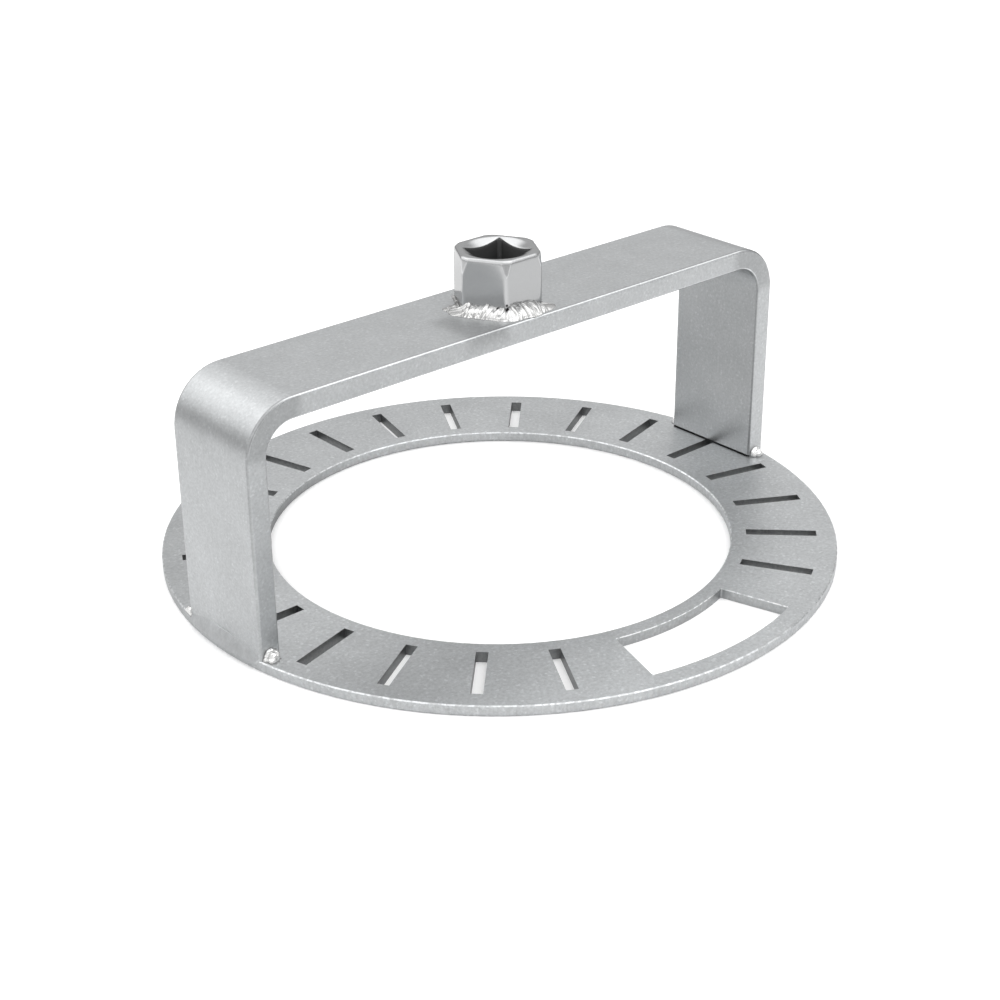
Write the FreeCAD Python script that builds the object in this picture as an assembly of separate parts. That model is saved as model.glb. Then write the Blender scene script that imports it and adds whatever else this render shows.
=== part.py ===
import FreeCAD, Part
import math
import os

# Fuel tank lock ring wrench, a steel weldment. Millimetres, +Z up along the drive.
# The origin is the centre of the ring on its underside, +X runs along the bridge and the window is at -Y.

# Ring, laser-cut from plate
ring_diameter = 190.0
ring_bore = 131.0
plate_thickness = 3.0
plate_edge_break = 0.3
slot_places = 24  # equal places round the ring, the first on +X
slot_width = 3.2
outer_land = 5.5  # plate left between the slots and the ring's outer edge
inner_land = 4.3  # plate left between the slots and the bore
window_direction = -90.0  # degrees from +X
window_angle = 33.0  # degrees between the window's two straight sides
window_corner_radius = 0.5

# Bridge, one flat bar bent into an inverted U
bar_width = 32.0
bar_thickness = 6.0
bar_edge_radius = 0.8
bridge_height = 68.0  # from the plate's upper face to the bar's upper face
bend_inner_radius = 8.5
foot_chamfer = 0.5  # on the inner edge of each foot, which has no weld

# Drive socket, a hexagonal boss with a female square
socket_across_flats = 21.7
socket_height = 15.0
socket_edge_radius = 1.2
socket_top_diameter = 23.3  # across the turned corners at the top face
socket_taper = 9.0  # of the turned corners, degrees from the drive axis
socket_rim_radius = 0.6
drive_square = 13.0
drive_corner_radius = 0.3
mouth_diameter = 18.6
mouth_slope = 24.0  # degrees from the top face

# Welds
socket_bead_reach = 3.8  # along the bar, out from the boss
socket_bead_rise = 3.2  # up the boss
foot_bead_radius = 3.0
seam_radius = 2.8  # of the seam's round bead before it is ground back
seam_inset = 2.0  # from the rim in to the middle of the seam's bead
seam_stand = 0.3  # how far the ground seam still stands out from the rim
seam_rise = 3.2  # of the ground face, from the plate to where it would meet the leg

through = 5.0  # how far a cutter runs past what it cuts
hex_sides = 6
same = 1e-6  # lengths closer than this are equal

# Worked out from the sizes above
ring_radius = ring_diameter / 2
plate_top = plate_thickness
bar_top = plate_top + bridge_height
bend_outer_radius = bend_inner_radius + bar_thickness
socket_top = bar_top + socket_height
socket_corner_reach = socket_across_flats / math.sqrt(3)
hex_step = 360 / hex_sides
slot_inner_radius = ring_bore / 2 + inner_land
slot_outer_radius = ring_radius - outer_land
leg_outer_x = math.sqrt(ring_radius ** 2 - (bar_width / 2) ** 2)  # puts the legs' corners on the rim

up = FreeCAD.Vector(0, 0, 1)
origin = FreeCAD.Vector(0, 0, 0)


def polar(radius, degrees, height=0.0):
    angle = math.radians(degrees)
    return FreeCAD.Vector(radius * math.cos(angle), radius * math.sin(angle), height)


def face_in_xz(corners):
    points = [FreeCAD.Vector(x, 0, z) for x, z in corners]
    return Part.Face(Part.makePolygon(points + points[:1]))


def centred_box(length, width, height, base_z):
    corner = FreeCAD.Vector(-length / 2, -width / 2, base_z)
    return Part.makeBox(length, width, height, corner)


def upright_edges(solid):
    return [edge for edge in solid.Edges if edge.BoundBox.DiagonalLength - edge.BoundBox.ZLength < same]


def turned_plate():
    # The plate's section, with its corners broken, turned about the drive axis.
    inner = ring_bore / 2
    corner = plate_edge_break
    section = face_in_xz([
        (inner + corner, 0),
        (ring_radius - corner, 0),
        (ring_radius, corner),
        (ring_radius, plate_top - corner),
        (ring_radius - corner, plate_top),
        (inner + corner, plate_top),
        (inner, plate_top - corner),
        (inner, corner),
    ])
    return section.revolve(origin, up, 360)


def slot_cutter(degrees):
    length = slot_outer_radius - slot_inner_radius
    corner = FreeCAD.Vector(slot_inner_radius, -slot_width / 2, -through)
    slot = Part.makeBox(length, slot_width, plate_thickness + 2 * through, corner)
    slot.rotate(origin, up, degrees)
    return slot


def window_cutter():
    # A sector between the slots' end circles, with straight radial sides.
    start = window_direction - window_angle / 2
    height = plate_thickness + 2 * through
    base = FreeCAD.Vector(0, 0, -through)
    outer = Part.makeCylinder(slot_outer_radius, height, base, up, window_angle)
    inner = Part.makeCylinder(slot_inner_radius, height, base, up, window_angle)
    sector = outer.cut(inner)
    sector.rotate(origin, up, start)
    return sector.makeFillet(window_corner_radius, upright_edges(sector))


def slotted_ring():
    cutters = [window_cutter()]
    for place in range(slot_places):
        degrees = place * 360 / slot_places
        from_window = abs((degrees - window_direction + 180) % 360 - 180)
        if from_window > window_angle / 2:
            cutters.append(slot_cutter(degrees))
    return turned_plate().cut(cutters)


def bend_arc(side, radius, start, end):
    # One round of a bend, seen along -Y, about the bend's own centre.
    centre_x = leg_outer_x - bend_outer_radius
    centre_z = bar_top - bend_outer_radius
    points = []
    for degrees in (start, (start + end) / 2, end):
        angle = math.radians(degrees)
        x = side * (centre_x + radius * math.cos(angle))
        points.append(FreeCAD.Vector(x, 0, centre_z + radius * math.sin(angle)))
    return Part.Arc(*points).toShape()


def bridge_outline():
    leg_inner_x = leg_outer_x - bar_thickness
    outer = [bend_arc(-1, bend_outer_radius, 0, 90), bend_arc(1, bend_outer_radius, 90, 0)]
    inner = [bend_arc(1, bend_inner_radius, 0, 90), bend_arc(-1, bend_inner_radius, 90, 0)]
    sole = (leg_outer_x, leg_inner_x + foot_chamfer)
    feet = [FreeCAD.Vector(x, 0, plate_top) for x in (sole[0], sole[1], -sole[1], -sole[0])]
    heels = [FreeCAD.Vector(x, 0, plate_top + foot_chamfer) for x in (leg_inner_x, -leg_inner_x)]
    joins = [
        (outer[0].lastVertex(True).Point, outer[1].firstVertex(True).Point),
        (outer[1].lastVertex(True).Point, feet[0]),
        (feet[0], feet[1]),
        (feet[1], heels[0]),
        (heels[0], inner[0].firstVertex(True).Point),
        (inner[0].lastVertex(True).Point, inner[1].firstVertex(True).Point),
        (inner[1].lastVertex(True).Point, heels[1]),
        (heels[1], feet[2]),
        (feet[2], feet[3]),
        (feet[3], outer[0].firstVertex(True).Point),
    ]
    lines = [Part.makeLine(start, end) for start, end in joins]
    return Part.Face(Part.Wire(Part.__sortEdges__(outer + inner + lines)))


def bridge_bar():
    bar = bridge_outline().extrude(FreeCAD.Vector(0, bar_width, 0))
    bar.translate(FreeCAD.Vector(0, -bar_width / 2, 0))
    long_edges = []
    for edge in bar.Edges:
        on_side = abs(abs(edge.CenterOfMass.y) - bar_width / 2) < same
        if on_side and edge.BoundBox.ZMax > plate_top + foot_chamfer + same:
            long_edges.append(edge)
    return bar.makeFillet(bar_edge_radius, long_edges)


def hexagon_prism(base_z, height):
    # Corners lie along the bridge, so two flats run beside the bar's edges.
    corners = [polar(socket_corner_reach, hex_step * side, base_z) for side in range(hex_sides)]
    return Part.Face(Part.makePolygon(corners + corners[:1])).extrude(up * height)


def socket_blank():
    # The hexagon has soft corners, turned to a slight taper towards the top.
    blank = hexagon_prism(bar_top, socket_height)
    blank = blank.makeFillet(socket_edge_radius, upright_edges(blank))
    top_radius = socket_top_diameter / 2
    base_radius = top_radius + socket_height * math.tan(math.radians(socket_taper))
    blank = blank.common(Part.makeCone(base_radius, top_radius, socket_height, up * bar_top))
    rim = [edge for edge in blank.Edges if edge.BoundBox.ZMin > socket_top - same]
    return blank.makeFillet(socket_rim_radius, rim)


def drive_socket():
    square = centred_box(drive_square, drive_square, socket_height + through, bar_top)
    square = square.makeFillet(drive_corner_radius, upright_edges(square))
    mouth_radius = mouth_diameter / 2
    mouth_depth = mouth_radius * math.tan(math.radians(mouth_slope))
    mouth = Part.makeCone(0, mouth_radius, mouth_depth, up * (socket_top - mouth_depth))
    return socket_blank().cut([square, mouth])


def socket_weld():
    # The bead's section runs straight along each flat and turns round each corner of the boss.
    section = face_in_xz([(0, 0), (socket_bead_reach, 0), (0, socket_bead_rise)])
    runs = [hexagon_prism(bar_top, socket_bead_rise)]
    for side in range(hex_sides):
        corner = polar(socket_corner_reach, hex_step * side, bar_top)
        next_corner = polar(socket_corner_reach, hex_step * (side + 1), bar_top)
        along_flat = section.rotated(origin, up, hex_step * (side + 0.5)).translated(corner)
        runs.append(along_flat.extrude(next_corner - corner))
        round_corner = section.rotated(origin, up, hex_step * (side - 0.5)).translated(corner)
        runs.append(round_corner.revolve(corner, up, hex_step))
    bead = runs[0].fuse(runs[1:]).removeSplitter()
    return bead.cut(socket_blank())


def outer_weld(side, ring, bar):
    # A round-ended bead along the rim under the leg's outer face, ground to slope from rim to leg.
    path_radius = ring_radius - seam_inset
    half_angle = math.degrees(math.asin(bar_width / 2 / ring_radius) - seam_radius / ring_radius)
    ends = [polar(path_radius, half_angle * turn, plate_top) for turn in (-1, 1)]
    bead = Part.makeTorus(path_radius, seam_radius, up * plate_top, up, 0, 360, 2 * half_angle)
    bead.rotate(origin, up, -half_angle)
    bead = bead.fuse([Part.makeSphere(seam_radius, point) for point in ends])
    slope = (ring_radius + seam_stand - leg_outer_x) / seam_rise
    floor_radius = ring_radius + seam_stand + slope * plate_top
    bead = bead.common(Part.makeCone(floor_radius, leg_outer_x, plate_top + seam_rise))
    if side < 0:
        bead.rotate(origin, up, 180)
    return bead.cut([ring, bar])


def foot_bead(side, face, ring, bar, seam):
    # A round dab of weld between the plate and the narrow edge of a leg.
    centre = FreeCAD.Vector(side * (leg_outer_x - bar_thickness / 2), face * bar_width / 2, plate_top)
    dab = Part.makeSphere(foot_bead_radius, centre)
    on_plate = Part.makeCylinder(ring_radius - plate_edge_break, foot_bead_radius, up * plate_top)
    return dab.common(on_plate).cut([ring, bar, seam])


ring = slotted_ring()
bar = bridge_bar()
pieces = {
    "slotted_ring": ring,
    "bridge_bar": bar,
    "drive_socket": drive_socket(),
    "socket_weld": socket_weld(),
}
for side, side_name in ((-1, "left"), (1, "right")):
    seam = outer_weld(side, ring, bar)
    pieces[side_name + "_outer_weld"] = seam
    for face, face_name in ((-1, "front"), (1, "rear")):
        pieces[side_name + "_" + face_name + "_weld"] = foot_bead(side, face, ring, bar, seam)

os.makedirs("parts", exist_ok=True)
for name, solid in pieces.items():
    solid.exportStep("parts/" + name + ".step")
    print(name, "solids", len(solid.Solids), "volume", round(solid.Volume, 2), "mm3", "valid", solid.isValid())
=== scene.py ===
import math

import bmesh
import bpy
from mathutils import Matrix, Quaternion, Vector, noise


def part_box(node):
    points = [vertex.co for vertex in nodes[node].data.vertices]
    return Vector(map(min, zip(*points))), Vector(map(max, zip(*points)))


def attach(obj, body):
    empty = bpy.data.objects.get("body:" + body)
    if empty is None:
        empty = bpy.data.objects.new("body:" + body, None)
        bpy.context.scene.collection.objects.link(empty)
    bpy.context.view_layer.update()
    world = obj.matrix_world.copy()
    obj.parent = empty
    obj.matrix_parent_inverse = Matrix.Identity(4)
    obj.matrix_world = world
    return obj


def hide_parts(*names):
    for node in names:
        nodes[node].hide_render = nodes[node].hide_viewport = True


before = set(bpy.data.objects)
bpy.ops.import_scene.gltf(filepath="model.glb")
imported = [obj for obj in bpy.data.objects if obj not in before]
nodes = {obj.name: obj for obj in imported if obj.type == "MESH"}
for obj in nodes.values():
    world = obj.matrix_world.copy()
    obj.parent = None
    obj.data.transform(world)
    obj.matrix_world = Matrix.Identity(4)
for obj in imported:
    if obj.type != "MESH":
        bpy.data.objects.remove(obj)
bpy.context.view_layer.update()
print("frame loaded with", len(nodes), "nodes")

# heights and places that the pieces sit on, in metres
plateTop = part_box("slotted_ring")[1].z
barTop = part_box("bridge_bar")[1].z
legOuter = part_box("bridge_bar")[1].x
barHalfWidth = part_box("bridge_bar")[1].y
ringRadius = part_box("slotted_ring")[1].x
barThickness = 0.006


# node helpers

def addNode(tree, kind, sockets=None, **settings):
    node = tree.nodes.new(kind)
    for name, value in settings.items():
        setattr(node, name, value)
    for name, value in (sockets or {}).items():
        if isinstance(value, bpy.types.NodeSocket):
            tree.links.new(value, node.inputs[name])
        else:
            node.inputs[name].default_value = value
    return node


def calc(tree, operation, *values):
    return addNode(tree, "ShaderNodeMath", dict(enumerate(values)), operation=operation).outputs[0]


def product(tree, *values):
    total = values[0]
    for value in values[1:]:
        total = calc(tree, "MULTIPLY", total, value)
    return total


def vectorCalc(tree, operation, *values):
    node = addNode(tree, "ShaderNodeVectorMath", dict(enumerate(values)), operation=operation)
    return node.outputs["Value" if operation in ("DOT_PRODUCT", "LENGTH", "DISTANCE") else "Vector"]


def xyz(tree, vector):
    return addNode(tree, "ShaderNodeSeparateXYZ", {"Vector": vector}).outputs


def noiseTexture(tree, place, scale, detail, roughness=0.5):
    return addNode(tree, "ShaderNodeTexNoise", {
        "Vector": place, "Scale": scale, "Detail": detail, "Roughness": roughness}).outputs["Fac"]


def remap(tree, value, fromLow, fromHigh, toLow, toHigh, smooth=False):
    node = addNode(tree, "ShaderNodeMapRange", {
        "Value": value, "From Min": fromLow, "From Max": fromHigh, "To Min": toLow, "To Max": toHigh,
    }, interpolation_type="SMOOTHSTEP" if smooth else "LINEAR")
    return node.outputs["Result"]


def stepUp(tree, value, start, end):
    return remap(tree, value, start, end, 0.0, 1.0)


def stepDown(tree, value, start, end):
    return remap(tree, value, start, end, 1.0, 0.0)


def band(tree, value, riseFrom, riseTo, fallFrom, fallTo):
    # 1 where the value lies in the band, and 0 on both sides of it
    return product(tree, stepUp(tree, value, riseFrom, riseTo), stepDown(tree, value, fallFrom, fallTo))


def brighten(tree, mask, more):
    # a tone that climbs from 1 to 1 + more where the mask is 1
    return calc(tree, "MULTIPLY_ADD", mask, more, 1.0)


def darken(tree, mask, depth):
    # a tone that falls from 1 to 1 - depth where the mask is 1
    return calc(tree, "SUBTRACT", 1.0, product(tree, mask, depth))


def opposite(tree, mask):
    return darken(tree, mask, 1.0)


def newGroup(name, inputs, outputs):
    group = bpy.data.node_groups.new(name, "ShaderNodeTree")
    for label, kind in inputs:
        group.interface.new_socket(label, in_out="INPUT", socket_type=kind)
    for label, kind in outputs:
        group.interface.new_socket(label, in_out="OUTPUT", socket_type=kind)
    return group, addNode(group, "NodeGroupInput"), addNode(group, "NodeGroupOutput")


def useGroup(tree, name, sockets):
    return addNode(tree, "ShaderNodeGroup", sockets, node_tree=bpy.data.node_groups[name]).outputs


# shared effects

platingGrain = {
    "detail": 2.0,
    "roughness": 0.7,
    "cloudScale": 85.0,
    "cloudDetail": 3.0,
    "cellShare": 1.5,  # cells to a grain
    "sparkleFrom": 0.88,  # only the cells above this sparkle
    "fineWeight": 3.0,
    "cloudWeight": 1.2,
}


def makeGrainGroup(s):
    # satin plating: fine grain, a few bright sparkles and soft cloudy patches
    tree, given, result = newGroup(
        "platingGrain",
        [("Position", "NodeSocketVector"), ("Grain", "NodeSocketFloat"), ("Contrast", "NodeSocketFloat")],
        [("Tone", "NodeSocketFloat"), ("Height", "NodeSocketFloat")],
    )
    place, grain, contrast = (given.outputs[i] for i in range(3))
    fine = noiseTexture(tree, place, grain, s["detail"], s["roughness"])
    cloud = noiseTexture(tree, place, s["cloudScale"], s["cloudDetail"])
    cells = addNode(tree, "ShaderNodeTexVoronoi", {"Vector": place, "Scale": product(tree, grain, s["cellShare"])})
    pick = addNode(tree, "ShaderNodeSeparateColor", {"Color": cells.outputs["Color"]}).outputs["Red"]
    spread = stepUp(tree, pick, s["sparkleFrom"], 1.0)
    for texture, weight in ((fine, s["fineWeight"]), (cloud, s["cloudWeight"])):
        spread = calc(tree, "ADD", spread, product(tree, calc(tree, "SUBTRACT", texture, 0.5), weight))
    tree.links.new(brighten(tree, spread, contrast), result.inputs["Tone"])
    tree.links.new(fine, result.inputs["Height"])


def makeLinesGroup(detail, roughness):
    # fine parallel marks; Stretch says how many fall in a metre along each axis
    tree, given, result = newGroup(
        "fineLines",
        [("Position", "NodeSocketVector"), ("Stretch", "NodeSocketVector"), ("Contrast", "NodeSocketFloat")],
        [("Tone", "NodeSocketFloat")],
    )
    place = vectorCalc(tree, "MULTIPLY", given.outputs["Position"], given.outputs["Stretch"])
    marks = noiseTexture(tree, place, 1.0, detail, roughness)
    spread = product(tree, calc(tree, "SUBTRACT", marks, 0.5), 2.0)
    tree.links.new(brighten(tree, spread, given.outputs["Contrast"]), result.inputs["Tone"])


def makeRegionGroup():
    # 1 inside a box, falling softly to 0 outside it
    tree, given, result = newGroup(
        "softRegion",
        [("Position", "NodeSocketVector"), ("Centre", "NodeSocketVector"), ("Half Size", "NodeSocketVector"),
         ("Softness", "NodeSocketFloat")],
        [("Mask", "NodeSocketFloat")],
    )
    away = vectorCalc(tree, "ABSOLUTE", vectorCalc(
        tree, "SUBTRACT", given.outputs["Position"], given.outputs["Centre"]))
    beyond = xyz(tree, vectorCalc(tree, "SUBTRACT", away, given.outputs["Half Size"]))
    furthest = calc(tree, "MAXIMUM", calc(tree, "MAXIMUM", beyond["X"], beyond["Y"]), beyond["Z"])
    mask = remap(tree, furthest, 0.0, given.outputs["Softness"], 1.0, 0.0, smooth=True)
    tree.links.new(mask, result.inputs["Mask"])


def plating(tree, place, grain, contrast):
    return useGroup(tree, "platingGrain", {"Position": place, "Grain": grain, "Contrast": contrast})


def fineLines(tree, place, stretch, contrast):
    return useGroup(tree, "fineLines", {"Position": place, "Stretch": stretch, "Contrast": contrast})["Tone"]


def region(tree, place, centre, half, softness):
    return useGroup(tree, "softRegion", {
        "Position": place, "Centre": centre, "Half Size": half, "Softness": softness})["Mask"]


makeGrainGroup(platingGrain)
makeLinesGroup(detail=3.0, roughness=0.65)
makeRegionGroup()
print("shared effects made")


# materials

grainDepth = 0.0002  # of the plating's grain in a bump, in metres


def newMetal(name, roughness, baseColor):
    material = bpy.data.materials.new(name)
    material.use_nodes = True
    tree = material.node_tree
    shader = tree.nodes["Principled BSDF"]
    shader.inputs["Metallic"].default_value = 1.0
    shader.inputs["Roughness"].default_value = roughness
    shader.inputs["Base Color"].default_value = (*baseColor, 1.0)
    place = addNode(tree, "ShaderNodeTexCoord").outputs["Object"]
    return material, tree, shader, place


def normalOf(tree):
    return addNode(tree, "ShaderNodeNewGeometry").outputs["Normal"]


def paint(tree, shader, baseColor, tones):
    # the base colour times every tone in the list
    total = product(tree, *tones)
    color = addNode(tree, "ShaderNodeCombineColor", {
        channel: product(tree, total, value) for channel, value in zip(("Red", "Green", "Blue"), baseColor)
    }).outputs["Color"]
    tree.links.new(color, shader.inputs["Base Color"])


def emboss(tree, shader, height, strength):
    bump = addNode(tree, "ShaderNodeBump", {"Height": height, "Strength": strength, "Distance": grainDepth})
    tree.links.new(bump.outputs["Normal"], shader.inputs["Normal"])


# In the materials' dictionaries two numbers say where an effect starts and ends. Four say where it starts, is
# full, starts to fade and has gone, or two values and what the effect is worth at each. A soft box is its middle,
# its half size and its softness.

ringPlate = {
    "color": (0.512, 0.524, 0.531),
    "roughness": 0.40,
    "grain": 1050.0,
    "contrast": 0.19,
    "emboss": 0.15,
    "paintedLightLean": 0.3,  # painted light: how much lighter the plate gets in a metre along +X
    "walls": (0.2, 0.5),  # by how far a face looks up or down, as the arris is
    "cutTone": 0.12,
    "cutStretch": (2600.0, 2600.0, 120.0),
    "ground": ((legOuter, 0.0, plateTop / 2), (0.006, 0.013, 0.003), 0.003),  # by the seams the rim is smooth
    "groundDepth": 0.8,
    # by the distance from the drive axis
    "slots": (0.0675, 0.0685, 0.0910, 0.0920),
    "bore": (0.0662, 0.0670),
    "rim": (0.0930, 0.0945),
    # painted shade on the slots' walls
    "slotShadeTone": 0.45,
    "boreShadeTone": 0.50,
    "boreAlong": (-0.045, 0.0),  # only the left part of the bore's wall gets painted shade
    "rimLightTone": 0.06,
    "window": ((0.0, -0.078, plateTop / 2), (0.030, 0.015, plateTop), 0.001),
    "windowDepth": 0.65,  # how much less painted shade the window's walls get than the slots'
    # painted highlight along the slots' upper edges
    "slotEdgeHighlight": (plateTop - 0.00045, plateTop - 0.00025),
    "slotEdgeHighlightPatches": (0.40, 0.60, 0.2, 1.0),
    "slotEdgeHighlightTone": 1.7,
    # painted highlights on the plate's broken edges
    "arrisHighlight": (0.45, 0.6, 0.85, 0.97),
    "arrisHighlightPatches": (0.44, 0.54),
    "arrisHighlightTone": 0.40,
    "patchScale": 800.0,
    "patchDetail": 1.0,
    # a painted shadow line where the inner side of a leg stands on the plate
    "jointWidth": 0.00009,
    "jointShort": 0.0006,
    "jointHeight": 0.0002,
    "jointSoftness": 0.0001,
    "jointShadeTone": 0.97,
    # painted light and shade in soft patches, where the plate is darker or lighter: a soft box and how much brighter
    "paintedLightPatches": [
        ((-0.080, 0.045, 0.003), (0.012, 0.018, 0.002), 0.016, -0.16),
        ((0.0775, -0.010, 0.003), (0.005, 0.010, 0.002), 0.008, 0.05),
        ((0.0, 0.088, 0.003), (0.075, 0.012, 0.002), 0.020, -0.06),
        ((0.068, 0.052, 0.003), (0.008, 0.008, 0.002), 0.022, -0.06),
    ],
}


def makeRingMaterial(s):
    material, tree, shader, place = newMetal("satinPlate", s["roughness"], s["color"])
    grain = plating(tree, place, s["grain"], s["contrast"])
    mirrored = vectorCalc(tree, "ABSOLUTE", place)
    where = xyz(tree, place)
    outward = vectorCalc(tree, "LENGTH", place)
    upright = calc(tree, "ABSOLUTE", xyz(tree, normalOf(tree))["Z"])
    wall = stepDown(tree, upright, *s["walls"])
    # the cut walls are rough, but for the ground rim
    cut = fineLines(tree, place, s["cutStretch"], s["cutTone"])
    rough = product(tree, wall, darken(tree, region(tree, mirrored, *s["ground"]), s["groundDepth"]))
    cutTone = brighten(tree, calc(tree, "SUBTRACT", cut, 1.0), rough)
    # painted shade on the slots' walls, and less of it on the walls at the window's ends
    slots = product(tree, wall, band(tree, outward, *s["slots"]))
    window = region(tree, place, *s["window"])
    shadedSlotWalls = product(tree, slots, darken(tree, window, s["windowDepth"]))
    # a fine painted highlight runs along the upper edge of those, in patches
    paintedLightPatches = noiseTexture(tree, place, s["patchScale"], s["patchDetail"])
    slotEdgeHighlight = product(tree, slots, window, stepUp(tree, where["Z"], *s["slotEdgeHighlight"]), remap(tree, paintedLightPatches, *s["slotEdgeHighlightPatches"]))
    # painted shade on the left part of the bore's wall
    shadedBoreWall = product(tree, wall, stepDown(tree, outward, *s["bore"]), stepDown(tree, where["X"], *s["boreAlong"]))
    # painted highlights on the broken edges of the plate, in places
    arrisHighlight = product(tree, band(tree, upright, *s["arrisHighlight"]), stepUp(tree, paintedLightPatches, *s["arrisHighlightPatches"]))
    # painted shadow line at the foot of each leg's inner side
    jointShade = region(tree, mirrored, (legOuter - barThickness - s["jointWidth"], 0.0, plateTop),
                   (s["jointWidth"], barHalfWidth - s["jointShort"], s["jointHeight"]), s["jointSoftness"])
    # painted light and shade in soft patches on the plate
    paintedLightPatchTones = [
        brighten(tree, region(tree, place, centre, half, softness), more)
        for centre, half, softness, more in s["paintedLightPatches"]]
    paint(tree, shader, s["color"], [
        grain["Tone"], cutTone,
        # painted light, lighter along +X
        brighten(tree, where["X"], s["paintedLightLean"]),
        brighten(tree, arrisHighlight, s["arrisHighlightTone"]),
        darken(tree, jointShade, s["jointShadeTone"]),
        darken(tree, shadedSlotWalls, s["slotShadeTone"]),
        darken(tree, shadedBoreWall, s["boreShadeTone"]),
        # painted light on the rim's outer wall
        brighten(tree, product(tree, wall, stepUp(tree, outward, *s["rim"])), s["rimLightTone"]),
        brighten(tree, slotEdgeHighlight, s["slotEdgeHighlightTone"]),
        *paintedLightPatchTones,
    ])
    emboss(tree, shader, grain["Height"], s["emboss"])
    return material


bridgeBar = {
    "color": (0.520, 0.532, 0.539),
    "roughness": 0.38,
    "grain": 1300.0,
    "contrast": 0.15,
    "emboss": 0.15,
    "brushStretch": (60.0, 900.0, 25.0),
    "brushTone": 0.035,
    "upward": (0.4, 0.6),  # by how far a face looks up
    "straight": (0.0785, 0.0835),  # out along the bar, up to where the bends start
    # painted shade inside the bridge, by how far a face looks inward or down
    "inner": (-0.35, -0.1),
    "innerFlat": (0.05, 0.3),  # and how far sideways, as all the edges are
    "innerHeight": (0.004, 0.030, 0.20, 1.0),
    "innerShadeTone": 0.19,
    "shadedInnerEdge": (0.1, 0.4, 0.75, 0.95),
    "innerEdgeShadeTone": 0.35,
    # upper edge: painted shade on the shoulder, then a painted glint and under it a fine painted highlight line
    "glint": (0.45, 0.6, 0.75, 0.9),
    "glintTone": 0.35,
    "shoulderShade": (0.04, 0.15, 0.46, 0.58),
    "bendShoulderShade": (0.80, 0.92, 0.7, 0.0),
    "shoulderShadeTone": 0.42,
    "underLineHighlight": (0.82, 0.90, 0.985, 0.998),
    "underLineUp": (0.04, 0.10),
    "underLineHighlightTone": 0.35,
    # lower edge: a painted highlight along the lip
    "lipHighlight": (0.70, 0.80, 0.97, 0.995),
    "lipInner": (-0.34, -0.12),
    "lipHeight": (0.0575, 0.0640),
    "lipStraight": 0.65,  # how much less it shines along the straight than round the bends
    "lipHighlightTone": 0.90,
    # painted light: the legs' outer faces are paler low down than high up
    "outer": (0.6, 0.9),
    "outerHeight": (0.008, 0.058, 0.055, -0.09),
    # painted shade on the legs' upright outer edges
    "shadedUprightEdge": (0.25, 0.50, 0.90, 0.97),
    "uprightOuter": (0.1, 0.3),
    "uprightUp": (0.2, 0.4),
    "uprightEdgeShadeTone": 0.13,
    # painted light and shade on the narrow faces at the front and rear: darker high up and round the bends, lighter
    # towards +X
    "narrow": (0.7, 0.95),
    "narrowHeight": (0.012, 0.062, -0.15, 1.0),
    "narrowShadeTone": 0.03,
    "narrowLightAlong": (-0.06, 0.09, -0.01, 0.07),
    "bend": ((0.0865, 0.0, 0.0650), (0.0072, 1.0, 0.0058), 0.004),
    "bendShadeTone": 0.22,
    "darkBesideBoss": ((-0.0172, -0.0092, 0.0710), (0.0036, 0.0062, 0.0005), 0.0055),
    "darkBesideBossTone": 0.24,
    # a painted shadow line at the foot of a leg's inner side
    "jointShade": (plateTop + 0.0003, plateTop + 0.00042),
    "jointInner": (-0.4, -0.2),
    "jointShadeTone": 0.98,
}


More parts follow.
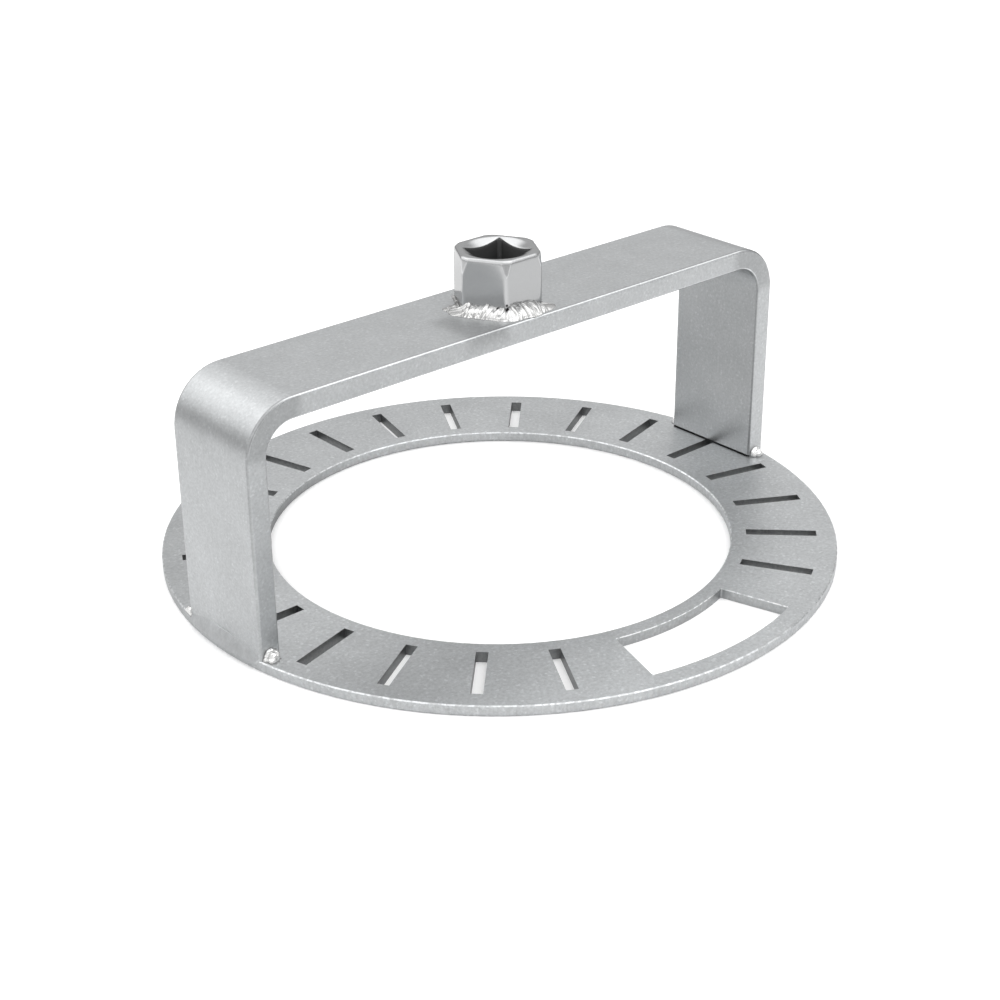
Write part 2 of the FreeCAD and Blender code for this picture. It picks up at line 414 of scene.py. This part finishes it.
def makeBarMaterial(s):
    material, tree, shader, place = newMetal("satinBar", s["roughness"], s["color"])
    grain = plating(tree, place, s["grain"], s["contrast"])
    where = xyz(tree, place)
    facing = xyz(tree, normalOf(tree))
    sideways = calc(tree, "ABSOLUTE", facing["Y"])
    upward = stepUp(tree, facing["Z"], *s["upward"])
    outer = product(tree, facing["X"], calc(tree, "SIGN", where["X"]))
    innerOrUnder = calc(tree, "MINIMUM", outer, facing["Z"])
    straight = stepDown(tree, calc(tree, "ABSOLUTE", where["X"]), *s["straight"])
    # painted shade inside the bridge: the legs' faces towards the middle, and the underside of the bar
    inner = stepDown(tree, innerOrUnder, *s["inner"])
    shadedInnerFace = product(tree, inner, stepDown(tree, sideways, *s["innerFlat"]),
                        remap(tree, where["Z"], *s["innerHeight"]))
    shadedInnerEdge = product(tree, inner, band(tree, sideways, *s["shadedInnerEdge"]))
    # the painted shade on the shoulder is wider round the bends, where there is no painted glint
    glint = product(tree, band(tree, sideways, *s["glint"]), straight, upward)
    nearTop = stepDown(tree, sideways, *s["shoulderShade"][2:])
    roundBend = product(tree, opposite(tree, straight), remap(tree, sideways, *s["bendShoulderShade"]))
    shoulderShade = product(tree, stepUp(tree, sideways, *s["shoulderShade"][:2]), calc(tree, "MAXIMUM", nearTop, roundBend),
                       upward)
    underLineHighlight = product(tree, band(tree, sideways, *s["underLineHighlight"]), stepUp(tree, facing["Z"], *s["underLineUp"]))
    lipHighlight = product(tree, band(tree, sideways, *s["lipHighlight"]), stepDown(tree, innerOrUnder, *s["lipInner"]),
                  stepUp(tree, where["Z"], *s["lipHeight"]), darken(tree, straight, s["lipStraight"]))
    # painted light: paler low on the legs' outer faces
    paintedLegLight = brighten(tree, stepUp(tree, outer, *s["outer"]), remap(tree, where["Z"], *s["outerHeight"]))
    # painted shade on the legs' upright outer edges
    shadedUprightEdge = product(tree, band(tree, sideways, *s["shadedUprightEdge"]), stepUp(tree, outer, *s["uprightOuter"]),
                          stepDown(tree, facing["Z"], *s["uprightUp"]))
    narrow = stepUp(tree, sideways, *s["narrow"])
    # painted shade high up and round the bends on the narrow faces
    shadedNarrowHigh = product(tree, narrow, remap(tree, where["Z"], *s["narrowHeight"]))
    shadedNarrowBend = product(tree, narrow, region(tree, vectorCalc(tree, "ABSOLUTE", place), *s["bend"]))
    # painted shadow line at the foot of a leg's inner side
    jointShade = product(tree, stepDown(tree, where["Z"], *s["jointShade"]), stepDown(tree, outer, *s["jointInner"]))
    # the bar is darker beside the boss
    darkBesideBoss = region(tree, place, *s["darkBesideBoss"])
    paint(tree, shader, s["color"], [
        grain["Tone"],
        fineLines(tree, place, s["brushStretch"], s["brushTone"]),
        darken(tree, shadedInnerFace, s["innerShadeTone"]),
        darken(tree, shadedInnerEdge, s["innerEdgeShadeTone"]),
        darken(tree, shadedNarrowHigh, s["narrowShadeTone"]),
        brighten(tree, narrow, remap(tree, where["X"], *s["narrowLightAlong"])),
        darken(tree, shadedNarrowBend, s["bendShadeTone"]),
        darken(tree, jointShade, s["jointShadeTone"]),
        darken(tree, darkBesideBoss, s["darkBesideBossTone"]),
        brighten(tree, glint, s["glintTone"]),
        darken(tree, shoulderShade, s["shoulderShadeTone"]), paintedLegLight,
        darken(tree, shadedUprightEdge, s["uprightEdgeShadeTone"]),
        brighten(tree, lipHighlight, s["lipHighlightTone"]),
        brighten(tree, underLineHighlight, s["underLineHighlightTone"]),
    ])
    emboss(tree, shader, grain["Height"], s["emboss"])
    return material


weldPits = {
    # pits where the bead stops short of the boss, painted black as the shade in them: middle and radius
    "pits": [
        ((-0.00640, -0.01110, 0.0732), 0.00055),
        ((-0.00625, -0.01085, 0.0741), 0.00040),
        ((-0.00790, -0.00905, 0.0734), 0.00045),
    ],
    "softness": 0.3,  # share of the radius over which a pit fades, on both sides of its edge
    "tone": 0.03,
}


def pitShadeTone(tree, place, s):
    tones = []
    for middle, radius in s["pits"]:
        gap = vectorCalc(tree, "DISTANCE", place, middle)
        start, end = radius * (1 - s["softness"]), radius * (1 + s["softness"])
        tones.append(remap(tree, gap, start, end, s["tone"], 1.0))
    return product(tree, *tones)


driveBoss = {
    "color": (0.49, 0.495, 0.50),
    "roughness": 0.14,
    "grain": 1200.0,
    "contrast": 0.03,
    "walls": (0.05, 0.2),  # by how far a face looks up, as the facets are
    "facets": (0.09, 0.14, 0.2, 0.4),
    "facetTone": 0.50,
    "boreToneAndShade": 0.29,  # the tone of the broached bore against the polished outside: its own duller tone and painted shade in the hole
    "boreRoughness": 0.70,
    "boreHalf": 0.0067,
    "boreDepth": 0.02,
    "boreSoftness": 0.0003,
    # painted highlights on the rounded corners of the bore
    "cornerHalf": 0.0009,
    "cornerHighlightTone": 0.7,
    "softEdge": 0.0014,  # how wide the polishing has rolled the edges over
    # painted light: the flat that faces this way is paler than the others
    "paintedLitFlat": (-0.866, -0.5, 0.0),
    "paintedFlatLightTones": (0.55, 0.95, 0.93, 1.11),
}


def makeBossMaterial(s):
    material, tree, shader, place = newMetal("polishedBoss", s["roughness"], s["color"])
    grain = plating(tree, place, s["grain"], s["contrast"])
    normal = normalOf(tree)
    upright = xyz(tree, normal)["Z"]
    walls = stepDown(tree, upright, *s["walls"])
    boreHalf, cornerHalf, depth = s["boreHalf"], s["cornerHalf"], s["boreDepth"]
    bore = product(tree, walls, region(
        tree, place, (0.0, 0.0, barTop), (boreHalf, boreHalf, depth), s["boreSoftness"]))
    # painted highlights on the bore's rounded corners
    boreCornerHighlight = product(tree, bore, region(
        tree, vectorCalc(tree, "ABSOLUTE", place), (boreHalf, boreHalf, barTop), (cornerHalf, cornerHalf, depth),
        s["boreSoftness"]))
    flats = product(tree, walls, opposite(tree, bore))
    # painted light on the flats, by which way they face
    paintedFlatLight = remap(tree, vectorCalc(tree, "DOT_PRODUCT", normal, s["paintedLitFlat"]), *s["paintedFlatLightTones"])
    paint(tree, shader, s["color"], [
        grain["Tone"],
        # the bore's own duller tone, and painted shade in the hole
        darken(tree, bore, 1 - s["boreToneAndShade"]),
        brighten(tree, calc(tree, "SUBTRACT", paintedFlatLight, 1.0), flats),
        brighten(tree, boreCornerHighlight, s["cornerHighlightTone"]),
        # the turned corners catch more light than the flats
        brighten(tree, band(tree, upright, *s["facets"]), s["facetTone"]),
        pitShadeTone(tree, place, weldPits),
    ])
    tree.links.new(remap(tree, bore, 0.0, 1.0, s["roughness"], s["boreRoughness"]), shader.inputs["Roughness"])
    softened = addNode(tree, "ShaderNodeBevel", {"Radius": s["softEdge"]}, samples=8)
    tree.links.new(softened.outputs["Normal"], shader.inputs["Normal"])
    return material


weldSteel = {
    "color": (0.665, 0.665, 0.66),
    "roughness": 0.26,
    "grain": 2200.0,
    "contrast": 0.08,
    "emboss": 0.2,
    "groove": (0.38, 0.50),  # by pointiness, from the deepest groove, which gets painted shade
    "grooveShadeTone": 0.66,
    # painted shade: the root of a dab, against the plate and against the leg, is dark
    "plateRoot": (plateTop + 0.0001, plateTop + 0.0005),
    "legRoot": (barHalfWidth + 0.0001, barHalfWidth + 0.0005),
    "legRootAlong": (legOuter - 0.0004, legOuter),
    # painted shade: the bead is gray beside the boss, where its two runs end
    "across": (-0.66, -0.75, 0.0),
    "ends": (0.0052, 0.0020),
    "startShade": ((-0.0148, 0.0022, 0.0720), (0.0008, 0.0030, 0.0020), 0.0028),  # painted shade where the front run starts
    "startShadeTone": 0.28,
}


def makeWeldMaterial(name, s, rootShadeTone, endShadeTone, crestPaintedLightTone):
    material, tree, shader, place = newMetal(name, s["roughness"], s["color"])
    grain = plating(tree, place, s["grain"], s["contrast"])
    pointiness = addNode(tree, "ShaderNodeNewGeometry").outputs["Pointiness"]
    mirrored = xyz(tree, vectorCalc(tree, "ABSOLUTE", place))
    plateRoot = stepDown(tree, mirrored["Z"], *s["plateRoot"])
    legRoot = product(tree, stepDown(tree, mirrored["Y"], *s["legRoot"]),
                      stepDown(tree, mirrored["X"], *s["legRootAlong"]))
    # painted shade at the dab's root
    root = calc(tree, "MAXIMUM", plateRoot, legRoot)
    ends = stepUp(tree, calc(tree, "ABSOLUTE", vectorCalc(tree, "DOT_PRODUCT", place, s["across"])), *s["ends"])
    paint(tree, shader, s["color"], [
        grain["Tone"],
        # painted shade in the grooves
        darken(tree, stepDown(tree, pointiness, *s["groove"]), s["grooveShadeTone"]),
        pitShadeTone(tree, place, weldPits),
        # painted shade where the front run starts
        darken(tree, region(tree, place, *s["startShade"]), s["startShadeTone"]),
        darken(tree, root, rootShadeTone),
        # painted shade at the bead's two ends beside the boss
        darken(tree, ends, endShadeTone),
        # painted highlight on the dab's crest, away from its root
        brighten(tree, opposite(tree, root), crestPaintedLightTone),
    ])
    emboss(tree, shader, grain["Height"], s["emboss"])
    return material


groundSeam = {
    "color": (0.575, 0.588, 0.597),
    "roughness": 0.38,
    "grain": 1500.0,
    "contrast": 0.08,
    "grindTurn": 0.7,  # how far the grinder's marks lean along the rim, in radians
    "grindStretch": (200.0, 1500.0, 120.0),
    "grindTone": 0.10,
    "mottleScale": 420.0,
    "mottleDetail": 2.0,
    "mottle": 0.35,
    "fade": (plateTop + 0.0022, plateTop + 0.0005),  # where the grinding runs out into the leg
    "fadeTone": 0.05,
    # painted shade where the seam's face looks up
    "crestShade": (0.5, 0.75),
    "crestPaintedLightTone": 0.14,
}


def makeSeamMaterial(s):
    material, tree, shader, place = newMetal("groundSeam", s["roughness"], s["color"])
    turned = addNode(tree, "ShaderNodeVectorRotate", {
        "Vector": place, "Axis": (1.0, 0.0, 0.0), "Angle": s["grindTurn"]},
        rotation_type="AXIS_ANGLE").outputs["Vector"]
    spots = noiseTexture(tree, place, s["mottleScale"], s["mottleDetail"])
    paint(tree, shader, s["color"], [
        plating(tree, place, s["grain"], s["contrast"])["Tone"],
        fineLines(tree, turned, s["grindStretch"], s["grindTone"]),
        brighten(tree, calc(tree, "SUBTRACT", spots, 0.5), s["mottle"]),
        darken(tree, stepUp(tree, xyz(tree, place)["Z"], *s["fade"]), s["fadeTone"]),
        # painted shade where the seam's face looks up
        darken(tree, stepUp(tree, xyz(tree, normalOf(tree))["Z"], *s["crestShade"]), s["crestPaintedLightTone"]),
    ])
    return material


finishes = {
    "slotted_ring": makeRingMaterial(ringPlate),
    "bridge_bar": makeBarMaterial(bridgeBar),
    "drive_socket": makeBossMaterial(driveBoss),
}
weldFinish = makeWeldMaterial("brightWeld", weldSteel, rootShadeTone=0.0, endShadeTone=0.48, crestPaintedLightTone=0.0)
dabFinish = makeWeldMaterial("dabWeld", weldSteel, rootShadeTone=0.55, endShadeTone=0.0, crestPaintedLightTone=0.35)
seamFinish = makeSeamMaterial(groundSeam)
for name, node in nodes.items():
    if name.endswith("outer_weld"):
        node.material_slots[0].material = seamFinish
    else:
        node.material_slots[0].material = finishes.get(name, weldFinish)
print("materials given to", len(nodes), "nodes")


# helpers for the shapes of the welds

def ramp(value, start, end):
    part = min(max((value - start) / (end - start), 0.0), 1.0)
    return part * part * (3 - 2 * part)


def hump(value, middle, width):
    return math.exp(-((value - middle) / width) ** 2)


def atLeast(low, share):
    # from low to 1 while the share goes from 0 to 1
    return low + (1 - low) * share


def finishPiece(name, shape, material, node):
    bmesh.ops.recalc_face_normals(shape, faces=shape.faces)
    for face in shape.faces:
        face.smooth = True
    mesh = bpy.data.meshes.new(name)
    shape.to_mesh(mesh)
    shape.free()
    mesh.materials.append(material)
    piece = bpy.data.objects.new(name, mesh)
    bpy.context.scene.collection.objects.link(piece)
    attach(piece, "root")
    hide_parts(node)
    return piece


# rippled bead round the foot of the boss

hexSides = 6
halfSide = math.pi / hexSides  # the angle of half a side, seen from the middle

bossBead = {
    "halfFlats": 0.01085,
    "cornerRadius": 0.0012,
    "steps": 1080,
    "rows": 26,
    "reach": 0.0036,
    "frontReach": 0.0011,  # more than that along the front flat
    "front": (0.75, 0.05),  # middle and width, as shares of the way round
    "startReach": 0.0011,  # and where the front run starts
    "start": (0.46, 0.02),
    "rise": 0.0021,
    "tooth": 0.0016,  # how unevenly the bead's upper edge climbs the boss
    "teethPerRipple": 0.62,
    "crown": 0.00040,
    "ripple": 0.00215,
    "rippleCrowd": 1.18,  # how much closer the ripples lie than their length says
    "rippleDepth": 0.00058,
    "rippleTop": 0.34,  # share of a ripple's length where it has risen
    "rippleFall": 0.8,  # the power that it falls by after that
    "rippleArch": 0.45,  # how deep a ripple still is at the bead's toes
    "rippleReach": 0.0005,  # how far the head of a ripple stands out at the toe
    "rippleRise": 0.0003,
    "jitter": ((9, 0.9), (23, 0.35)),  # how uneven the ripples' spacing is: scale and strength
    "puddleMiddle": 0.75,  # how deep the ripples are on average, and how unequal
    "puddleSpread": 0.5,
    "puddleStep": 1.7,
    "slant": 0.0022,  # how far the head of a ripple stands ahead of its toe
    "fanSlant": 0.0050,  # more than that round the left corner
    "fan": (0.48, 0.05),
    "fineDepth": 0.00004,
    "fineScale": (3.1, 1.6, 4),
    "split": 0.6655,  # share of the way round where a deep groove runs down the bead
    "splitWidth": 0.00022,
    "splitDepth": 0.00055,
    "waver": 0.0004,
    "waverScale": 5,
    "waverRise": 0.6,
    # rows of the noise that each effect is read from
    "puddleRow": 3.1,
    "toothRow": 7.7,
    "waverRow": 4,
    "swellOut": 0.6,
    "swellUp": 0.8,
    "swellStart": 6,  # the bead's face swells up in full from a sixth of the way up
    # two runs, front and rear, each flat at its ends: shares of the way round, and what is left between them
    "runMiddle": 0.6475,
    "rearSqueeze": 1.6,  # how much shorter the rear run is
    "riseFrom": (0.455, 0.530),
    "riseTo": (0.780, 0.850),
    "reachFrom": (0.400, 0.450),
    "reachTo": (0.835, 0.875),
    "leanRise": 0.14,
    "leanReach": 0.20,
    "leanRipple": 0.35,
}


def alongBoss(share, s):
    # the point on the boss's outline, and the way out from it, after this share of the way round
    side, radius = share * hexSides, s["cornerRadius"]
    straight = (s["halfFlats"] - radius) * math.tan(halfSide)
    length = straight + radius * halfSide
    along = (side % 1 - 0.5) * 2 * length
    turn = math.copysign(max(abs(along) - straight, 0.0) / radius, along)
    flat = halfSide + int(side) * 2 * halfSide
    out = Vector((math.cos(flat), math.sin(flat)))
    across = Vector((-out.y, out.x)) * max(min(along, straight), -straight)
    way = Vector((math.cos(flat + turn), math.sin(flat + turn)))
    return out * (s["halfFlats"] - radius) + across + way * radius, way, 2 * hexSides * length


def rippleHeight(phase, s):
    # quick to rise and slow to fall, as one puddle of weld overlaps the last
    part = phase % 1
    return ramp(part, 0.0, s["rippleTop"]) * (1 - part) ** s["rippleFall"]


def beadFace(share, length, u, s):
    # how far out and how high the bead's face lies, at this share of the way round and u of the way up
    ring = Vector((math.cos(share * math.tau), math.sin(share * math.tau), 0))
    # the rear run is squeezed on to the same shares as the front one
    run = share
    if abs(share - s["runMiddle"]) > 0.25:
        run = s["runMiddle"] + ((share - s["runMiddle"]) % 1 - 0.5) * s["rearSqueeze"]
    full = ramp(run, *s["riseFrom"]) * (1 - ramp(run, *s["riseTo"]))
    wide = ramp(run, *s["reachFrom"]) * (1 - ramp(run, *s["reachTo"]))
    flat = atLeast(s["leanRipple"], full)
    slant = s["slant"] + s["fanSlant"] * hump(run, *s["fan"])
    travel = share * length * s["rippleCrowd"] - slant * u
    phase = travel / s["ripple"] + sum(noise.noise(ring * scale) * strength for scale, strength in s["jitter"])
    height = rippleHeight(phase, s)
    puddle = Vector((math.floor(phase) * s["puddleStep"], s["puddleRow"], 0))
    puddle = s["puddleMiddle"] + s["puddleSpread"] * noise.noise(puddle)
    fine = [value * scale for value, scale in zip((phase, u, share), s["fineScale"])]
    fine = noise.noise(Vector(fine)) * s["fineDepth"]
    uneven = noise.noise(ring * s["waverScale"] + Vector((0, 0, s["waverRow"]))) * s["waver"]
    tooth = max(noise.noise(Vector((phase * s["teethPerRipple"], s["toothRow"], 0))), 0.0) * s["tooth"] * full
    split = hump((share - s["split"]) * length, 0.0, s["splitWidth"]) * s["splitDepth"]
    arch = math.sin(math.pi * u)
    swell = s["crown"] * full * arch + fine - split
    swell += s["rippleDepth"] * puddle * height * flat * atLeast(s["rippleArch"], arch)
    reach = s["reach"] * atLeast(s["leanReach"], wide)
    reach += s["frontReach"] * hump(run, *s["front"])
    reach += s["startReach"] * hump(run, *s["start"])
    reach += (uneven + s["rippleReach"] * height) * wide
    rise = s["rise"] * atLeast(s["leanRise"], full)
    rise += (uneven * s["waverRise"] + s["rippleRise"] * height) * flat + tooth
    swellUp = swell * s["swellUp"] * min(u * s["swellStart"], 1)
    return reach * (1 - u) + swell * s["swellOut"], rise * u + swellUp


def makeBossBead(s):
    shape = bmesh.new()
    spinRadius = s["halfFlats"]
    section = [shape.verts.new((spinRadius, 0, 0))]
    for row in range(s["rows"] + 1):
        u = row / s["rows"]
        section.append(shape.verts.new((spinRadius + s["reach"] * (1 - u), 0, s["rise"] * u)))
    loop = [shape.edges.new(pair) for pair in zip(section, section[1:] + section[:1])]
    bmesh.ops.spin(shape, geom=section + loop, cent=(0, 0, 0), axis=(0, 0, 1), angle=math.tau,
                   steps=s["steps"], use_merge=True, use_duplicate=False)
    bmesh.ops.remove_doubles(shape, verts=shape.verts, dist=1e-7)
    for vert in shape.verts:
        share = math.atan2(vert.co.y, vert.co.x) / math.tau % 1
        reach = math.hypot(vert.co.x, vert.co.y) - spinRadius
        u = vert.co.z / s["rise"]
        onFace = reach / s["reach"] + u > 0.5
        foot, way, length = alongBoss(share, s)
        reach, rise = beadFace(share, length, u, s) if onFace else (0.0, 0.0)
        spot = foot + way * reach
        vert.co = (spot.x, spot.y, barTop + rise)
    return finishPiece("rippledBossBead", shape, weldFinish, "socket_weld")


# dabs of weld on the narrow edges of the legs

footDab = {
    # radius, and how far in from the leg's outer face
    "leftFrontDab": (0.0024, 0.0030),
    "leftRearDab": (0.0021, 0.0004),
    "rightFrontDab": (0.0022, 0.0032),
    "rightRearDab": (0.0021, 0.0030),
    "stretch": 1.15,
    "spread": 1.22,  # out over the plate
    "sunk": 0.0008,
    "crown": (0.0004, 0.0021, 0.0006),  # where the valleys are centred
    "valleys": ((0.0018, 0.00022, 0.00045),),  # distance from there, width and depth
    "lump": 0.00045,
    "lumps": ((700, 1.0), (1900, 0.2)),  # scale and share
    "rimGap": 0.0003,
}


def makeFootDab(name, node, side, face, s):
    radius, inset = s[name]
    shape = bmesh.new()
    bmesh.ops.create_uvsphere(shape, u_segments=72, v_segments=48, radius=radius)
    centre = Vector((side * (legOuter - inset), face * barHalfWidth, plateTop))
    crown = centre + Vector(s["crown"]) * Vector((side, face, 1))
    for vert in shape.verts:
        out = vert.co.normalized()
        spot = centre + vert.co
        lump = sum(noise.noise(spot * scale) * s["lump"] * share for scale, share in s["lumps"])
        away = (spot - crown).length
        for distance, width, depth in s["valleys"]:
            lump -= depth * hump(away, distance, width)
        vert.co = spot + out * lump
        vert.co.z = plateTop + (vert.co.z - plateTop) * s["stretch"]
        vert.co.y = centre.y + (vert.co.y - centre.y) * s["spread"]
        # the dab stops at the ring's rim
        over = math.hypot(vert.co.x, vert.co.y) / (ringRadius + s["rimGap"])
        if over > 1:
            vert.co.x, vert.co.y = vert.co.x / over, vert.co.y / over
    cuts = (((0, 0, plateTop), (0, 0, -1)), ((0, face * (barHalfWidth - s["sunk"]), 0), (0, -face, 0)))
    for place, outward in cuts:
        cut = bmesh.ops.bisect_plane(shape, geom=shape.verts[:] + shape.edges[:] + shape.faces[:],
                                     plane_co=place, plane_no=outward, clear_outer=True)
        rim = [part for part in cut["geom_cut"] if isinstance(part, bmesh.types.BMEdge)]
        bmesh.ops.holes_fill(shape, edges=rim)
    return finishPiece(name, shape, dabFinish, node)


makeBossBead(bossBead)
for side, sideName in ((-1, "left"), (1, "right")):
    for face, faceName in ((-1, "front"), (1, "rear")):
        makeFootDab(sideName + faceName.title() + "Dab", sideName + "_" + faceName + "_weld", side, face, footDab)
print("weld beads made")


# floor, light and camera

floorSettings = {
    "radius": 6.0,
    "seenTone": 0.95,
    "glow": 0.10,
    # painted light on the floor, for all but camera rays: paler near the tool than far from it, two distances and
    # their tones
    "paintedTableLight": (0.26, 0.85, 0.81, 0.36),
    # painted soft gray cards of shade on it, for all but camera rays: middle, radius and tone
    "paintedShadeCards": [
        ((-0.205, -0.045, 0.0), 0.09, 0.79),
        ((0.060, 0.190, 0.0), 0.07, 0.84),
        ((0.115, -0.135, 0.0), 0.05, 0.90),
    ],
    "cardSoftness": 0.45,  # share of a card's radius where it starts to fade
}


def makeFloor(s):
    shape = bmesh.new()
    bmesh.ops.create_circle(shape, cap_ends=True, segments=96, radius=s["radius"])
    mesh = bpy.data.meshes.new("floor")
    shape.to_mesh(mesh)
    shape.free()
    floor = bpy.data.objects.new("floor", mesh)
    bpy.context.scene.collection.objects.link(floor)
    material = bpy.data.materials.new("paleFloor")
    material.use_nodes = True
    tree = material.node_tree
    shader = tree.nodes["Principled BSDF"]
    shader.inputs["Roughness"].default_value = 1.0
    shader.inputs["Specular IOR Level"].default_value = 0.0
    place = addNode(tree, "ShaderNodeTexCoord").outputs["Object"]
    # painted light and painted gray cards of shade on the floor, for all but camera rays
    light = remap(tree, vectorCalc(tree, "LENGTH", place), *s["paintedTableLight"], smooth=True)
    for middle, radius, tone in s["paintedShadeCards"]:
        gap = vectorCalc(tree, "DISTANCE", place, middle)
        light = product(tree, light, remap(tree, gap, radius * s["cardSoftness"], radius, tone, 1.0, smooth=True))
    camera = addNode(tree, "ShaderNodeLightPath").outputs["Is Camera Ray"]
    shown = addNode(tree, "ShaderNodeMix", {"Factor": camera, "A": light, "B": s["seenTone"]}, data_type="FLOAT")
    gray = addNode(tree, "ShaderNodeCombineColor", dict.fromkeys(("Red", "Green", "Blue"), shown.outputs["Result"]))
    tree.links.new(gray.outputs["Color"], shader.inputs["Base Color"])
    shader.inputs["Emission Color"].default_value = (1.0, 1.0, 1.0, 1.0)
    tree.links.new(product(tree, camera, s["glow"]), shader.inputs["Emission Strength"])
    mesh.materials.append(material)


skySettings = {
    # two heights of the direction looked in and the brightness at each, and what is added higher up
    "low": (0.0, 0.30, 0.38, 0.63),
    "overhead": (0.50, 0.74, 0.0, 0.73),
    "seen": 1.0,
    "panels": [
        # towards, inner and outer cosine, brightness
        ((-0.44, 0.675, 0.60), 0.97, 0.86, 0.95),
        ((0.30, -0.45, 0.80), 0.94, 0.85, 0.9),
        ((0.30, 0.36, 0.88), 0.97, 0.86, 0.55),
        ((-0.88, -0.20, 0.44), 0.93, 0.72, 0.30),
    ],
}


def makeSky(s):
    world = bpy.data.worlds.new("studio")
    bpy.context.scene.world = world
    world.use_nodes = True
    tree = world.node_tree
    background = tree.nodes["Background"]
    background.inputs["Color"].default_value = (1.0, 1.0, 1.0, 1.0)
    towards = addNode(tree, "ShaderNodeTexCoord").outputs["Generated"]
    height = xyz(tree, towards)["Z"]
    light = calc(tree, "ADD", remap(tree, height, *s["low"], smooth=True),
                 remap(tree, height, *s["overhead"], smooth=True))
    for direction, inner, outer, strength in s["panels"]:
        cosine = vectorCalc(tree, "DOT_PRODUCT", towards, Vector(direction).normalized())
        light = calc(tree, "ADD", light, remap(tree, cosine, outer, inner, 0.0, strength, smooth=True))
    camera = addNode(tree, "ShaderNodeLightPath").outputs["Is Camera Ray"]
    shown = addNode(tree, "ShaderNodeMix", {"Factor": camera, "A": light, "B": s["seen"]}, data_type="FLOAT")
    tree.links.new(shown.outputs["Result"], background.inputs["Strength"])


cameraSettings = {
    "azimuth": -41.233,
    "elevation": 26.168,
    "roll": -0.464,
    "distance": 0.53432,
    "target": (0.00109, 0.00097, 0.01067),
    "lens": 67.777,
    "clipStart": 0.01,
}


def makeCamera(s):
    azimuth, elevation = math.radians(s["azimuth"]), math.radians(s["elevation"])
    back = Vector((math.sin(azimuth) * math.cos(elevation), -math.cos(azimuth) * math.cos(elevation),
                   math.sin(elevation)))
    view = bpy.data.cameras.new("camera")
    view.lens = s["lens"]
    view.clip_start = s["clipStart"]
    camera = bpy.data.objects.new("camera", view)
    camera.rotation_mode = "QUATERNION"
    camera.location = Vector(s["target"]) + back * s["distance"]
    turn = Quaternion((0, 0, 1), math.radians(s["roll"]))
    camera.rotation_quaternion = (-back).to_track_quat("-Z", "Y") @ turn
    bpy.context.scene.collection.objects.link(camera)
    bpy.context.scene.camera = camera


makeFloor(floorSettings)
makeSky(skySettings)
makeCamera(cameraSettings)
bpy.context.scene.view_settings.view_transform = "Standard"
print("floor, light and camera set")
